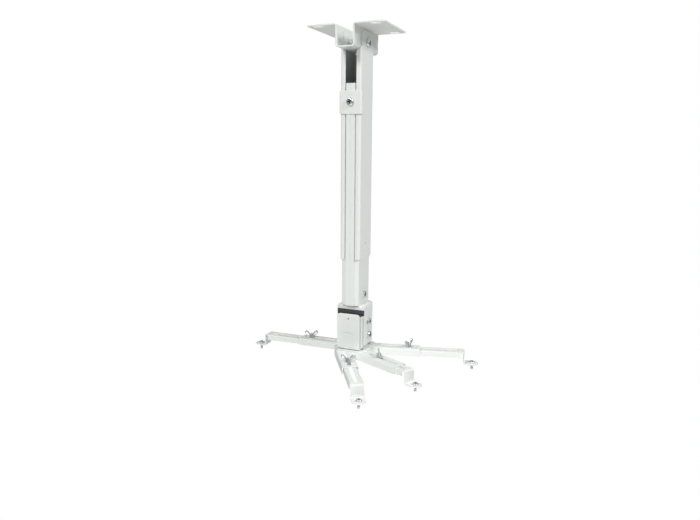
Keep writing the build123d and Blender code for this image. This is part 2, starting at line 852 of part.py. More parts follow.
def make_clamp_nut(arm: Arm):
    """Square nut under the leg's top, on the wing screw's shank."""
    level = arm_frame(arm, clamp_nut_top)
    seat = Plane(
        origin=level.origin + level.x_dir * arm.wing_reach,
        x_dir=level.x_dir,
        z_dir=(0, 0, -1),
    )
    nuts(f"wing_nut_{arm.name}", M5, [seat], turning_fit, sides=4, turn=45.0)


for each_arm in ARMS:
    make_arm(each_arm)
    make_leg(each_arm)
    make_foot_screw(each_arm)
    make_wing_screw(each_arm)
    make_clamp_nut(each_arm)
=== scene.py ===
"""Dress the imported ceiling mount: finishes for sheet steel, detailed screws and nuts, studio and camera."""

import logging
import math
from dataclasses import dataclass
from enum import Enum

import bmesh
import bpy
import numpy as np
from mathutils import Matrix, Vector


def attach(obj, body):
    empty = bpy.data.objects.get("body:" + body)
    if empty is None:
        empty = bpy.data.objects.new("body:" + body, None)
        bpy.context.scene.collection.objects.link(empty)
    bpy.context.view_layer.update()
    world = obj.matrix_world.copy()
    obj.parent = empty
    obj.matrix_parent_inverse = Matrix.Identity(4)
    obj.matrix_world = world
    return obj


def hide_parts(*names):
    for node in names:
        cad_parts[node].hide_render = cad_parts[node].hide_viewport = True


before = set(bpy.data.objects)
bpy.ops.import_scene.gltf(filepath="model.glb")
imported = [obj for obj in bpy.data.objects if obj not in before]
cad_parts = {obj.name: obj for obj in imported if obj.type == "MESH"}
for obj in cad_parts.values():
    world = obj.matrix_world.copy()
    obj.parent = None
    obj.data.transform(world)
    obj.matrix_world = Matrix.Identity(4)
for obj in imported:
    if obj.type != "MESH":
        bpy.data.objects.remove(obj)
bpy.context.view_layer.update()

LOG = logging.getLogger("ceiling_mount")

Point = tuple[float, float, float]
Direction = tuple[float, float, float]
Rows = tuple[np.ndarray, np.ndarray]
Crown = tuple[np.ndarray, np.ndarray, np.ndarray]
Tree = bpy.types.NodeTree
Socket = bpy.types.NodeSocket
Inputs = dict[str | int, object]

UP: Direction = (0, 0, 1)
DOWN: Direction = (0, 0, -1)
FRONT: Direction = (0, -1, 0)
BACK: Direction = (0, 1, 0)

MM = 0.001

# Gaps in metres that are merged at poles and in the solids' triangles, the largest angle within a flat, the
# least angle of an edge that is rolled over, its arc's steps, and the least angle that stays a crease.
POLE_GAP = 1e-7
CAD_GAP = 1e-6
FLAT_DEG = 0.5
SHARP_DEG = 33.0
ARC_STEPS = 3
CREASE_DEG = 38.0

# Attributes that the finishes read: rolled edges get a painted highlight and more gloss, and recesses get
# painted shade.
EDGE = "rolled_edge"
# recess: share of painted shade in screw recesses
RECESS_SHADE = "recess"

# Sockets of a Mix node that mixes colours.
MIX_SHARE, MIX_FIRST, MIX_SECOND, MIX_RESULT = 0, 6, 7, 2


class Slot(Enum):
    """Material slots of the record."""

    POWDER_COAT = "powder_coat"
    ZINC = "zinc"
    BLACK_NYLON = "black_nylon"


class NutForm(Enum):
    """Number of sides of a nut."""

    HEXAGON = 6
    SQUARE = 4


def linear(hex_code: str) -> tuple[float, float, float, float]:
    """Turn an sRGB hex colour into linear RGBA.

    Args:
        hex_code: six hex digits, such as "E6E8E5".

    Returns:
        Linear red, green and blue, with alpha 1.
    """
    channels = [int(hex_code[i : i + 2], 16) / 255 for i in (0, 2, 4)]
    curve = [c / 12.92 if c <= 0.04045 else ((c + 0.055) / 1.055) ** 2.4 for c in channels]
    return (*curve, 1.0)


def add_node(tree: Tree, kind: str, inputs: Inputs | None = None, **settings: object) -> bpy.types.Node:
    """Add a node with its settings, and link or set its inputs.

    Args:
        tree: node tree that gets the node.
        kind: Blender's name of the node type.
        inputs: socket name or index, to an output socket to link or a value to set.
        **settings: attributes of the node.

    Returns:
        The new node.
    """
    node = tree.nodes.new(kind)
    for name, value in settings.items():
        setattr(node, name, value)
    for socket, value in (inputs or {}).items():
        if isinstance(value, bpy.types.NodeSocket):
            tree.links.new(value, node.inputs[socket])
        else:
            node.inputs[socket].default_value = value
    return node


@dataclass(frozen=True)
class Finish:
    """A finish that makes one shared material."""

    name: str
    slot: Slot | None = None

    def material(self) -> bpy.types.Material:
        """Give the finish's material, made on first use.

        Returns:
            The material, with its nodes in place.
        """
        known = bpy.data.materials.get(self.name)
        if known is not None:
            return known
        made = bpy.data.materials.new(self.name)
        made.use_nodes = True
        tree = made.node_tree
        tree.nodes.clear()
        place = add_node(tree, "ShaderNodeTexCoord").outputs["Object"]
        shader = add_node(tree, "ShaderNodeBsdfPrincipled", self.paint(tree, place))
        add_node(tree, "ShaderNodeOutputMaterial", {"Surface": shader.outputs["BSDF"]})
        return made

    def paint(self, tree: Tree, place: Socket) -> Inputs:
        """Lay the patterns; each finish has its own.

        Args:
            tree: the material's nodes.
            place: Object coordinates.

        Returns:
            What the surface shader's sockets get.
        """
        raise NotImplementedError


@dataclass(frozen=True)
class PowderCoat(Finish):
    """Polyester powder coat baked on sheet steel: an even satin white with a faint orange peel.

    The charge draws more powder to cut edges, which makes them glossier than flats; their whiter colour
    is a painted highlight along the edges.
    Where a hollow is given, the inside of the section turns a steel grey: partly bare steel where little
    powder reaches, partly painted shade of the deep hollow. Near the top end the coat's white stays as
    painted light falling in, and it fades into the grey between the two levels given.
    """

    coat: str = "EEF0ED"
    shade: str = "E8EBE8"
    # whiter colour of the rolled edges: a painted highlight
    edge_highlight: str = "F9FAF8"
    # grey inside a hollow: partly bare steel, partly painted shade
    steel: str = "A9ADB3"
    roughness: float = 0.42
    edge_gloss: float = 0.12
    peel_mm: float = 1.6
    peel_height_mm: float = 0.012
    peel_strength: float = 0.6
    cloud_mm: float = 60.0
    hollow_half_mm: tuple[float, float] | None = None
    # levels in mm over which the painted light at the hollow's top end fades into the grey
    top_light_fade_mm: tuple[float, float] = (-30.0, -80.0)

    def paint(self, tree: Tree, place: Socket) -> Inputs:
        """Lay clouds of two near whites, the orange peel's bump, a painted highlight on rolled edges and, in
        a hollow, a grey that is partly bare steel and partly painted shade.

        The peel is a little coarser than the real 0.8 mm so that it shows in close views.

        Args:
            tree: the material's nodes.
            place: Object coordinates.

        Returns:
            What the surface shader's sockets get.
        """
        cloud = add_node(tree, "ShaderNodeTexNoise", {"Vector": place, "Scale": 1 / (self.cloud_mm * MM)})
        whites = {
            MIX_SHARE: cloud.outputs["Fac"],
            MIX_FIRST: linear(self.coat),
            MIX_SECOND: linear(self.shade),
        }
        colour = add_node(tree, "ShaderNodeMix", whites, data_type="RGBA").outputs[MIX_RESULT]
        peel = add_node(tree, "ShaderNodeTexNoise", {"Vector": place, "Scale": 1 / (self.peel_mm * MM)})
        relief = {
            "Height": peel.outputs["Fac"],
            "Distance": self.peel_height_mm * MM,
            "Strength": self.peel_strength,
        }
        bump = add_node(tree, "ShaderNodeBump", relief)
        edge = add_node(tree, "ShaderNodeAttribute", attribute_name=EDGE).outputs["Fac"]
        # Rolled edges get a whiter colour, a painted highlight, and less roughness.
        edges = {MIX_SHARE: edge, MIX_FIRST: colour, MIX_SECOND: linear(self.edge_highlight)}
        colour = add_node(tree, "ShaderNodeMix", edges, data_type="RGBA").outputs[MIX_RESULT]
        glosses = {"Value": edge, "To Min": self.roughness, "To Max": self.roughness - self.edge_gloss}
        gloss = add_node(tree, "ShaderNodeMapRange", glosses)
        if self.hollow_half_mm is not None:
            colour = self.paint_hollow_shade(tree, colour, place)
        return {"Base Color": colour, "Roughness": gloss.outputs[0], "Normal": bump.outputs["Normal"]}

    def paint_hollow_shade(self, tree: Tree, colour: Socket, place: Socket) -> Socket:
        """Mix in the steel grey, partly bare steel and partly painted shade, where both |x| and |y| lie
        inside the hollow's half sizes; it fades out towards the top end, where the coat's white stays as
        painted light.

        Args:
            tree: the material's nodes.
            colour: the coat's colour.
            place: Object coordinates.

        Returns:
            The mixed colour.
        """
        split = add_node(tree, "ShaderNodeSeparateXYZ", {0: place})
        shares = []
        for axis, half in zip("XY", self.hollow_half_mm):
            size = add_node(tree, "ShaderNodeMath", {0: split.outputs[axis]}, operation="ABSOLUTE")
            share = add_node(tree, "ShaderNodeMath", {0: size.outputs[0], 1: half * MM}, operation="DIVIDE")
            shares.append(share.outputs[0])
        widest = add_node(tree, "ShaderNodeMath", {0: shares[0], 1: shares[1]}, operation="MAXIMUM")
        inside = add_node(tree, "ShaderNodeMath", {0: widest.outputs[0], 1: 1.0}, operation="LESS_THAN")
        # Painted light: the grey fades out towards the top end, where light falls into the hollow.
        top, bottom = (level * MM for level in self.top_light_fade_mm)
        top_light_fade = {"Value": split.outputs["Z"], "From Min": top, "From Max": bottom}
        bare = add_node(tree, "ShaderNodeMapRange", top_light_fade)
        both = {0: inside.outputs[0], 1: bare.outputs[0]}
        share = add_node(tree, "ShaderNodeMath", both, operation="MULTIPLY")
        mixed = {MIX_SHARE: share.outputs[0], MIX_FIRST: colour, MIX_SECOND: linear(self.steel)}
        return add_node(tree, "ShaderNodeMix", mixed, data_type="RGBA").outputs[MIX_RESULT]


@dataclass(frozen=True)
class ZincPlate(Finish):
    """Bright zinc plate on steel: a cool grey metal, its gloss broken by fine pickling clouds.

    A recess is painted nearly black: painted shade, as light hardly reaches into it.
    """

    bright: str = "EDEFF0"
    dull: str = "CFD2D4"
    # nearly black painted shade in recesses
    recess: str = "1E1F21"
    cloud_mm: float = 1.4
    cloud_detail: float = 4.0
    roughness_low: float = 0.2
    roughness_high: float = 0.38

    def paint(self, tree: Tree, place: Socket) -> Inputs:
        """Vary colour and roughness together over the clouds, and paint shade into the recesses.

        Args:
            tree: the material's nodes.
            place: Object coordinates.

        Returns:
            What the surface shader's sockets get.
        """
        noise = {"Vector": place, "Scale": 1 / (self.cloud_mm * MM), "Detail": self.cloud_detail}
        cloud = add_node(tree, "ShaderNodeTexNoise", noise).outputs["Fac"]
        greys = {MIX_SHARE: cloud, MIX_FIRST: linear(self.bright), MIX_SECOND: linear(self.dull)}
        colour = add_node(tree, "ShaderNodeMix", greys, data_type="RGBA").outputs[MIX_RESULT]
        glosses = {"Value": cloud, "To Min": self.roughness_low, "To Max": self.roughness_high}
        rough = add_node(tree, "ShaderNodeMapRange", glosses)
        # Painted shade: recesses go nearly black as they deepen.
        recess_shade = add_node(tree, "ShaderNodeAttribute", attribute_name=RECESS_SHADE).outputs["Fac"]
        recess_shading = {MIX_SHARE: recess_shade, MIX_FIRST: colour, MIX_SECOND: linear(self.recess)}
        colour = add_node(tree, "ShaderNodeMix", recess_shading, data_type="RGBA").outputs[MIX_RESULT]
        return {"Base Color": colour, "Roughness": rough.outputs[0], "Metallic": 1.0}


@dataclass(frozen=True)
class MouldedNylon(Finish):
    """Black nylon from a spark-eroded mould: matt, with a fine even grain."""

    black: str = "434347"
    grey: str = "4F4F53"
    grain_mm: float = 0.5
    grain_height_mm: float = 0.03
    roughness: float = 0.58
    ior: float = 1.53

    def paint(self, tree: Tree, place: Socket) -> Inputs:
        """Lay the mould's grain in colour and bump.

        Args:
            tree: the material's nodes.
            place: Object coordinates.

        Returns:
            What the surface shader's sockets get.
        """
        noise = {"Vector": place, "Scale": 1 / (self.grain_mm * MM)}
        grain = add_node(tree, "ShaderNodeTexNoise", noise).outputs["Fac"]
        blacks = {MIX_SHARE: grain, MIX_FIRST: linear(self.black), MIX_SECOND: linear(self.grey)}
        colour = add_node(tree, "ShaderNodeMix", blacks, data_type="RGBA").outputs[MIX_RESULT]
        bump = add_node(tree, "ShaderNodeBump", {"Height": grain, "Distance": self.grain_height_mm * MM})
        normal = bump.outputs["Normal"]
        return {"Base Color": colour, "Roughness": self.roughness, "IOR": self.ior, "Normal": normal}


@dataclass(frozen=True)
class StudioFloor(Finish):
    """Pale painted studio floor, rolled in matt white, with a glow that keeps it as pale as the surround."""

    white: str = "FBFBFA"
    nap_mm: float = 8.0
    nap_height_mm: float = 0.1
    roughness: float = 0.9
    glow: float = 0.3

    def paint(self, tree: Tree, place: Socket) -> Inputs:
        """Give a matt white with a faint roller nap.

        Args:
            tree: the material's nodes.
            place: Object coordinates.

        Returns:
            What the surface shader's sockets get.
        """
        nap = add_node(tree, "ShaderNodeTexNoise", {"Vector": place, "Scale": 1 / (self.nap_mm * MM)})
        relief = {"Height": nap.outputs["Fac"], "Distance": self.nap_height_mm * MM}
        bump = add_node(tree, "ShaderNodeBump", relief)
        return {
            "Base Color": linear(self.white),
            "Roughness": self.roughness,
            "Emission Color": linear(self.white),
            "Emission Strength": self.glow,
            "Normal": bump.outputs["Normal"],
        }


COAT = PowderCoat("powder_coated_sheet_steel", Slot.POWDER_COAT)
OUTER_COAT = PowderCoat("powder_coated_outer_column", Slot.POWDER_COAT, hollow_half_mm=(14.1, 22.9))
INNER_COAT = PowderCoat(
    "powder_coated_inner_column", Slot.POWDER_COAT, hollow_half_mm=(12.1, 20.85), top_light_fade_mm=(-76.0, -100.0)
)
ZINC = ZincPlate("bright_zinc_plated_steel", Slot.ZINC)
NYLON = MouldedNylon("moulded_black_nylon", Slot.BLACK_NYLON)
FLOOR = StudioFloor("matt_white_floor_paint")


@dataclass
class Surface:
    """A grid of points with two parameters: its rows are closed rings, and its columns too where asked.

    A row that shrinks to one point closes a pole once its doubles are merged.
    """

    points: np.ndarray
    wrap_rows: bool = False
    # share of painted shade per point, in recesses
    recess: np.ndarray | None = None

    def depth(self) -> np.ndarray:
        """Give the recess value of each point, 0 where none is given."""
        return np.zeros(self.points.shape[:2]) if self.recess is None else self.recess

    def faces(self, start: int) -> np.ndarray:
        """Give the corners of each quad as whole index arrays.

        Args:
            start: index of the surface's first vertex in its mesh.

        Returns:
            One row of four vertex indices per quad.
        """
        rows, columns = self.points.shape[:2]
        number = np.arange(rows * columns).reshape(rows, columns) + start
        below = np.roll(number, -1, axis=0)
        if not self.wrap_rows:
            number, below = number[:-1], below[:-1]
        right, below_right = np.roll(number, -1, axis=1), np.roll(below, -1, axis=1)
        return np.stack([number, right, below_right, below], axis=-1).reshape(-1, 4)


def make_piece(name: str, surfaces: list[Surface]) -> bpy.types.Object:
    """Put surfaces into one mesh, close their poles and seams, and turn every face outwards.

    Args:
        name: name of the piece.
        surfaces: closed grids, already in their places.

    Returns:
        The piece, at the origin.
    """
    starts = np.cumsum([0] + [s.points.shape[0] * s.points.shape[1] for s in surfaces])
    vertices = np.concatenate([s.points.reshape(-1, 3) for s in surfaces])
    quads = np.concatenate([s.faces(int(start)) for s, start in zip(surfaces, starts)])
    mesh = bpy.data.meshes.new(name)
    mesh.from_pydata(vertices.tolist(), [], quads.tolist())
    # Recess values carry the painted shade of screw recesses.
    recess_shade = np.concatenate([s.depth().ravel() for s in surfaces])
    mesh.attributes.new(RECESS_SHADE, "FLOAT", "POINT").data.foreach_set("value", recess_shade)
    work = bmesh.new()
    work.from_mesh(mesh)
    bmesh.ops.remove_doubles(work, verts=work.verts, dist=POLE_GAP)
    bmesh.ops.recalc_face_normals(work, faces=work.faces)
    work.to_mesh(mesh)
    work.free()
    mesh.shade_smooth()
    mesh.set_sharp_from_angle(angle=math.radians(CREASE_DEG))
    piece = bpy.data.objects.new(name, mesh)
    bpy.context.scene.collection.objects.link(piece)
    return piece


def axis_frame(direction: Direction, twist: float = 0.0) -> np.ndarray:
    """Give three axes whose last is a direction, turned about it.

    Args:
        direction: unit vector of the third axis.
        twist: turn about it, in radians.

    Returns:
        The axes as the rows of a matrix.
    """
    up = np.array(direction, float)
    side = np.array([0.0, 0.0, 1.0]) if abs(up[2]) < 0.9 else np.array([1.0, 0.0, 0.0])
    first = np.cross(side, up)
    first /= np.linalg.norm(first)
    second = np.cross(up, first)
    turned = math.cos(twist) * first + math.sin(twist) * second
    return np.stack([turned, np.cross(up, turned), up])


@dataclass(frozen=True)
class Seat:
    """Where a fastener sits: a point on its axis in metres, the way it faces, and how far it is turned."""

    point: Point
    direction: Direction
    twist: float = 0.0

    def place(self, local: np.ndarray) -> np.ndarray:
        """Carry points along the seat's own axes, in millimetres, to their places in metres."""
        return np.array(self.point) + local @ axis_frame(self.direction, self.twist) * MM

    def turn(self, radius: np.ndarray, angle: np.ndarray, height: np.ndarray) -> np.ndarray:
        """Carry cylinder coordinates about the seat's axis, in millimetres, to places in metres."""
        local = np.stack([radius * np.cos(angle), radius * np.sin(angle), height + 0 * angle], axis=-1)
        return self.place(local)


# Sizes that all fasteners share, in millimetres; the thread's depth is a share of its pitch.
AROUND = 48
THREAD_ROWS = 6
THREAD_DEPTH = 0.61
THREAD_START = 0.01
TIP_CHAMFER = 0.3
HEAD_CHAMFER = 0.15
HEAD_ROUND = 0.6
CROWN_LAND = 0.2
CROWN_EDGE = 0.1
# depth at which a recess's painted shade is full
RECESS_SHADE_DEPTH = 0.7
BORE_PLAY = 0.04
BORE_LEAD = 0.35
SIDE_COLUMNS = 12

# Share of the half flats where a nut's chamfer starts, and its slope in degrees.
CHAMFERS = {NutForm.HEXAGON: (0.97, 30.0), NutForm.SQUARE: (1.02, 10.0)}


@dataclass(frozen=True)
class FastenerSize:
    """Sizes of a metric screw and its nut in millimetres, as in the solids; shank and head are radii."""

    shank: float
    head: float
    head_height: float
    pitch: float
    nut_flats: float
    nut_height: float

    @property
    def root(self) -> float:
        """Give the radius of the thread's root."""
        return self.shank - THREAD_DEPTH * self.pitch


M4 = FastenerSize(shank=2.0, head=4.0, head_height=2.6, pitch=0.7, nut_flats=7.0, nut_height=3.2)
M5 = FastenerSize(shank=2.5, head=4.75, head_height=3.1, pitch=0.8, nut_flats=8.0, nut_height=4.0)
M6 = FastenerSize(shank=3.0, head=5.6, head_height=3.7, pitch=1.0, nut_flats=10.0, nut_height=5.0)
M8 = FastenerSize(shank=4.0, head=6.5, head_height=5.3, pitch=1.25, nut_flats=13.0, nut_height=6.5)


def turn_angles(count: int = AROUND, start: float = 0.0) -> np.ndarray:
    """Give a row of angles spaced evenly over one turn."""
    return np.linspace(0, 2 * np.pi, count, endpoint=False)[None, :] + start


def stack_rows(*parts: Rows) -> Rows:
    """Stack the parts of a profile, each a radius and a height per row and column."""
    radii, heights = zip(*parts)
    return np.concatenate(radii), np.concatenate(heights)


def profile(*points: tuple[float, float]) -> Rows:
    """Carry a profile's points, each a radius and a height, round in full rows."""
    radius, height = np.array(points, float).T[:, :, None] + np.zeros(AROUND)
    return radius, height


def rounded_edge(flat: float, top: float, arc: float, steps: int) -> Rows:
    """Round an edge over in a quarter circle, from a flat top to an upright side.

    At the turn t the radius is the flat's plus the arc's times sin t, and the height is the top's less the
    arc's times 1 - cos t.

    Args:
        flat: radius of the flat top.
        top: height of the flat top.
        arc: radius of the quarter circle.
        steps: number of rows, of which the last is the side's.

    Returns:
        Radius and height per row and column.
    """
    turn = np.linspace(0, np.pi / 2, steps + 1)[1:, None] + np.zeros(AROUND)
    return flat + arc * np.sin(turn), top - arc * (1 - np.cos(turn))


def threaded_shank(size: FastenerSize, start: float, length: float, around: int = AROUND) -> Rows:
    """Work out the rows of a threaded shank and its flat tip.

    The radius falls from the crest by a triangle wave of (height / pitch + angle / full turn), which winds
    the ridge round the shank, and over the last pitch it runs out to the root so that the thread fades.

    Args:
        size: the screw.
        start: height where the shank starts, in millimetres from the seat.
        length: how far its tip lies below the seat.
        around: number of columns.

    Returns:
        Radius and height per row and column.
    """
    angle = turn_angles(around)
    top, end = start - THREAD_START, -length + TIP_CHAMFER
    count = max(int((top - end) / size.pitch * THREAD_ROWS), 4)
    height = np.linspace(top, end, count)[:, None] + 0 * angle
    wave = np.abs(2 * np.mod(height / size.pitch + angle / (2 * np.pi), 1.0) - 1)
    run_out = np.clip((height - end) / size.pitch, 0.0, 1.0)
    radius = size.shank - THREAD_DEPTH * size.pitch * (1 - (1 - wave) * run_out)
    tip = np.array([size.root - TIP_CHAMFER, 0.0])[:, None] + 0 * angle
    return stack_rows((radius, height), (tip, 0 * tip - length))


def crown_grid(reach: float, edge: float) -> Crown:
    """Work out a screw's crown with a cross recess, whose columns lean to follow the recess's walls.

    Rows are circles, one just inside and one just outside the ends of the cross's bars. At a radius r a
    bar's side lies at asin(half width / r) from the bar's middle, 45 degrees at most, and in each eighth of
    the turn two columns run along the foot and the top of that side. The floor rises from the middle to the
    bars' ends.

    Args:
        reach: half length of a bar, in millimetres.
        edge: radius of the crown's last row.

    Returns:
        Radius, angle and depth per row and column.
    """
    half_width = 0.2 * reach + 0.16
    wall = 0.14
    floor_rise, depth_share = 0.45, 0.8
    rows = np.concatenate([np.linspace(0, reach - wall / 2, 12), np.linspace(reach + wall / 2, edge, 4)])
    radius = rows[:, None]
    within = radius < reach
    diagonal = np.pi / 4
    sides = []
    for half, beyond in ((half_width - wall / 2, diagonal / 3), (half_width + wall / 2, diagonal / 2)):
        side = np.arcsin(np.clip(half / np.maximum(radius, 1e-6), 0, math.sin(diagonal)))
        sides.append(np.where(within, side, beyond))
    foot, top = sides
    spread = (diagonal - top) / 3
    half_turn = np.concatenate([0 * foot, foot / 2, foot, top, top + spread, top + 2 * spread], axis=1)
    quarter = np.concatenate([0 * foot - diagonal, -half_turn[:, :0:-1], half_turn], axis=1)
    angle = np.concatenate([quarter + turn * np.pi / 2 for turn in range(4)], axis=1)
    step = np.tile(np.abs(np.arange(-6, 6)), 4)[None, :]
    inside = within & ((step <= 2) | (radius <= half_width * math.sqrt(2)))
    depth = inside * (1 - floor_rise * np.clip(radius / reach, 0, 1)) * reach * depth_share
    return radius + 0 * angle, angle, depth


def crowned(seat: Seat, crown: Crown, top: float, below: Rows) -> Surface:
    """Join a crown and the rows below it to one surface, with painted-shade recess values that grow with the
    depth.

    Args:
        seat: the screw's seat.
        crown: radius, angle and depth of the crown's rows.
        top: height of the crown, in millimetres from the seat.
        below: radius and height of the rows below it.

    Returns:
        The screw's surface.
    """
    crown_radius, crown_angle, depth = crown
    radius, height = stack_rows((crown_radius, top - depth), below)
    angle = np.concatenate([crown_angle, turn_angles(start=-np.pi / 4) + 0 * below[0]])
    recess = np.zeros_like(radius)
    # Painted shade grows with the recess's depth.
    recess[: len(depth)] = np.clip(depth / RECESS_SHADE_DEPTH, 0, 1)
    return Surface(seat.turn(radius, angle, height), recess=recess)


def pan_screw(
    size: FastenerSize, seat: Seat, length: float, neck: tuple[float, float] = (0.0, 0.0)
) -> Surface:
    """Make a pan-head screw as one turned surface, from the middle of its crown to the tip of its shank.

    The head's side is straight for two fifths of its height and then rounds over in a quarter circle to a
    flat crown with a cross recess; the shank is threaded.

    Args:
        size: the screw.
        seat: middle of the head's underside; the head stands along its direction.
        length: shank length below the seat, in millimetres.
        neck: radius and length of a plain shoulder under the head.

    Returns:
        The screw's surface.
    """
    round_over = HEAD_ROUND * size.head_height
    flat = size.head - round_over
    shoulder, end = max(neck[0], size.root), -neck[1]
    below = stack_rows(
        rounded_edge(flat, size.head_height, round_over, 7),
        profile((size.head, HEAD_CHAMFER), (size.head - HEAD_CHAMFER, 0.0), (shoulder, 0.0), (shoulder, end)),
        threaded_shank(size, end, length),
    )
    return crowned(seat, crown_grid(flat - CROWN_LAND, flat), size.head_height, below)


def countersunk_screw(size: FastenerSize, seat: Seat, length: float, cone: float) -> Surface:
    """Make a countersunk screw as one turned surface.

    A flat crown with a cross recess goes over into a cone of 45 degrees down to the thread's root, and the
    threaded shank follows.

    Args:
        size: the screw.
        seat: middle of its crown.
        length: length below the crown, in millimetres.
        cone: how far the crown's radius stands over the shank's.

    Returns:
        The screw's surface.
    """
    rim = size.shank + cone - CROWN_EDGE
    flank = profile(*((radius, radius - size.shank - cone) for radius in (rim, size.root)))
    below = stack_rows(flank, threaded_shank(size, size.root - size.shank - cone, length))
    return crowned(seat, crown_grid(size.shank, rim), 0.0, below)


def wrench_wall(size: FastenerSize, form: NutForm, angle: np.ndarray) -> tuple[np.ndarray, ...]:
    """Work out the outside of a nut or a bolt's head.

    The outer radius is the half flats divided by the cosine of the angle from the nearest flat's middle.
    A chamfer cone of 30 degrees takes the corners off a hexagon; a square keeps nearly all of them.

    Args:
        size: the screw.
        form: hexagon or square.
        angle: angles about the axis.

    Returns:
        The outer radius, the radius of the end face, and how far the chamfer drops at the outer radius.
    """
    step = 2 * np.pi / form.value
    off_flat = np.mod(angle + step / 2, step) - step / 2
    outer = size.nut_flats / 2 / np.cos(off_flat)
    share, slope_deg = CHAMFERS[form]
    cone = size.nut_flats / 2 * share
    drop = np.clip(outer - cone, 0, None) * math.tan(math.radians(slope_deg))
    return outer, np.minimum(cone, outer), drop


def hexagon_bolt(size: FastenerSize, seat: Seat, length: float) -> Surface:
    """Make a hexagon bolt as one surface, from the middle of its head's top to the tip of its thread.

    Args:
        size: the bolt.
        seat: middle of the head's underside; the head stands along its direction.
        length: shank length below the seat, in millimetres.

    Returns:
        The bolt's surface.
    """
    angle = turn_angles(2 * AROUND)
    outer, face, drop = wrench_wall(size, NutForm.HEXAGON, angle)
    ring = np.ones_like(angle)
    tall = size.head_height
    radius, height = stack_rows(
        (0 * ring, tall * ring),
        (face, tall * ring),
        (outer, tall - drop),
        (outer, 0 * ring),
        (size.root * ring, 0 * ring),
        threaded_shank(size, 0.0, length, 2 * AROUND),
    )
    return Surface(seat.turn(radius, angle, height))


def nut(size: FastenerSize, seat: Seat, form: NutForm) -> Surface:
    """Make a nut as a closed ring: a profile round the wall, with a lead at both ends of the bore.

    Args:
        size: the screw that the nut fits.
        seat: middle of the nut's first face; the nut stands along its direction.
        form: hexagon or square.

    Returns:
        The nut's surface.
    """
    angle = turn_angles(form.value * SIDE_COLUMNS)
    outer, face, drop = wrench_wall(size, form, angle)
    ring = np.ones_like(angle)
    tall = size.nut_height
    bore = (size.shank + BORE_PLAY) * ring
    mouth = (size.shank + BORE_PLAY + BORE_LEAD) * ring
    radius, height = stack_rows(
        (bore, BORE_LEAD * ring),
        (bore, (tall - BORE_LEAD) * ring),
        (mouth, tall * ring),
        (face, tall * ring),
        (outer, tall - drop),
        (outer, drop),
        (face, 0 * ring),
        (mouth, 0 * ring),
    )
    return Surface(seat.turn(radius, angle, height), wrap_rows=True)


def seat_piece(piece: bpy.types.Object, node: str | None, body: str, finish: Finish) -> None:
    """Finish a piece that moves with a body and, where a CAD node is given, stands for it.

    Args:
        piece: the piece, in its place.
        node: CAD node that it replaces, if any.
        body: CAD body that it rides on.
        finish: its finish.
    """
    piece.data.materials.append(finish.material())
    if node is not None:
        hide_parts(node)
    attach(piece, body)
    LOG.info("made %s for %s on %s in %s", piece.name, node or "no node", body, finish.name)


def face_sums(mesh: bpy.types.Mesh, rolled: np.ndarray) -> tuple[np.ndarray, np.ndarray]:
    """Sum what the faces round each vertex say of it.

    A vertex's normal is the sum of its faces' normals times their areas, so that a large flat keeps its
    own normal up to its border. Its edge value is 1 where all its faces belong to rolled edges.

    Args:
        mesh: the mesh.
        rolled: for each face, 1 on a rolled edge, else 0.

    Returns:
        Unit normal per vertex, and edge value per vertex.
    """
    count = len(mesh.polygons)
    normals, areas, sizes = np.empty(count * 3), np.empty(count), np.empty(count, int)
    mesh.polygons.foreach_get("normal", normals)
    mesh.polygons.foreach_get("area", areas)
    mesh.polygons.foreach_get("loop_total", sizes)
    corner = np.empty(len(mesh.loops), int)
    mesh.loops.foreach_get("vertex_index", corner)
    owner = np.repeat(np.arange(count), sizes)
    total = np.zeros((len(mesh.vertices), 3))
    np.add.at(total, corner, (normals.reshape(-1, 3) * areas[:, None])[owner])
    edge = np.ones(len(mesh.vertices))
    np.minimum.at(edge, corner, rolled[owner])
    return total / np.maximum(np.linalg.norm(total, axis=1, keepdims=True), 1e-12), edge


def soften(node: str, body: str, finish: Finish, radius_mm: float = 0.3, inside: bool = False) -> None:
    """Let a copy of a CAD node with rolled edges stand for it.

    The copy's triangles are merged and joined to whole flats, and each outside edge where faces meet at
    more than a set angle is rolled over in a few steps of an arc.

    Args:
        node: CAD node of folded sheet or moulding.
        body: CAD body that it belongs to.
        finish: its finish.
        radius_mm: radius of the arc.
        inside: whether inside corners are rounded as well, as in a moulding.
    """
    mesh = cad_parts[node].data.copy()
    mesh.materials.clear()
    work = bmesh.new()
    work.from_mesh(mesh)
    bmesh.ops.remove_doubles(work, verts=work.verts, dist=CAD_GAP)
    bmesh.ops.dissolve_limit(work, angle_limit=math.radians(FLAT_DEG), verts=work.verts, edges=work.edges)
    sharp = [edge for edge in work.edges if edge.calc_face_angle(0.0) > math.radians(SHARP_DEG)]
    sharp = [edge for edge in sharp if inside or edge.is_convex]
    arcs = bmesh.ops.bevel(
        work, geom=sharp, offset=radius_mm * MM, segments=ARC_STEPS, profile=0.5, affect="EDGES"
    )
    for face in work.faces:
        face.material_index = 0
        face.smooth = True
    for face in arcs["faces"]:
        face.material_index = 1
    work.to_mesh(mesh)
    work.free()
    rolled = np.empty(len(mesh.polygons), int)
    mesh.polygons.foreach_get("material_index", rolled)
    mesh.polygons.foreach_set("material_index", np.zeros_like(rolled))
    normals, edge = face_sums(mesh, rolled)
    mesh.attributes.new(EDGE, "FLOAT", "POINT").data.foreach_set("value", edge)
    mesh.normals_split_custom_set_from_vertices(normals.tolist())
    piece = bpy.data.objects.new(f"{node}_finished", mesh)
    bpy.context.scene.collection.objects.link(piece)
    seat_piece(piece, node, body, finish)


def node_points(node: str) -> np.ndarray:
    """Read a CAD node's vertices as one array, in metres.

    Args:
        node: name of the node.

    Returns:
        One row per vertex.
    """
    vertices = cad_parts[node].data.vertices
    flat = np.empty(len(vertices) * 3, np.float32)
    vertices.foreach_get("co", flat)
    return flat.reshape(-1, 3).astype(float)


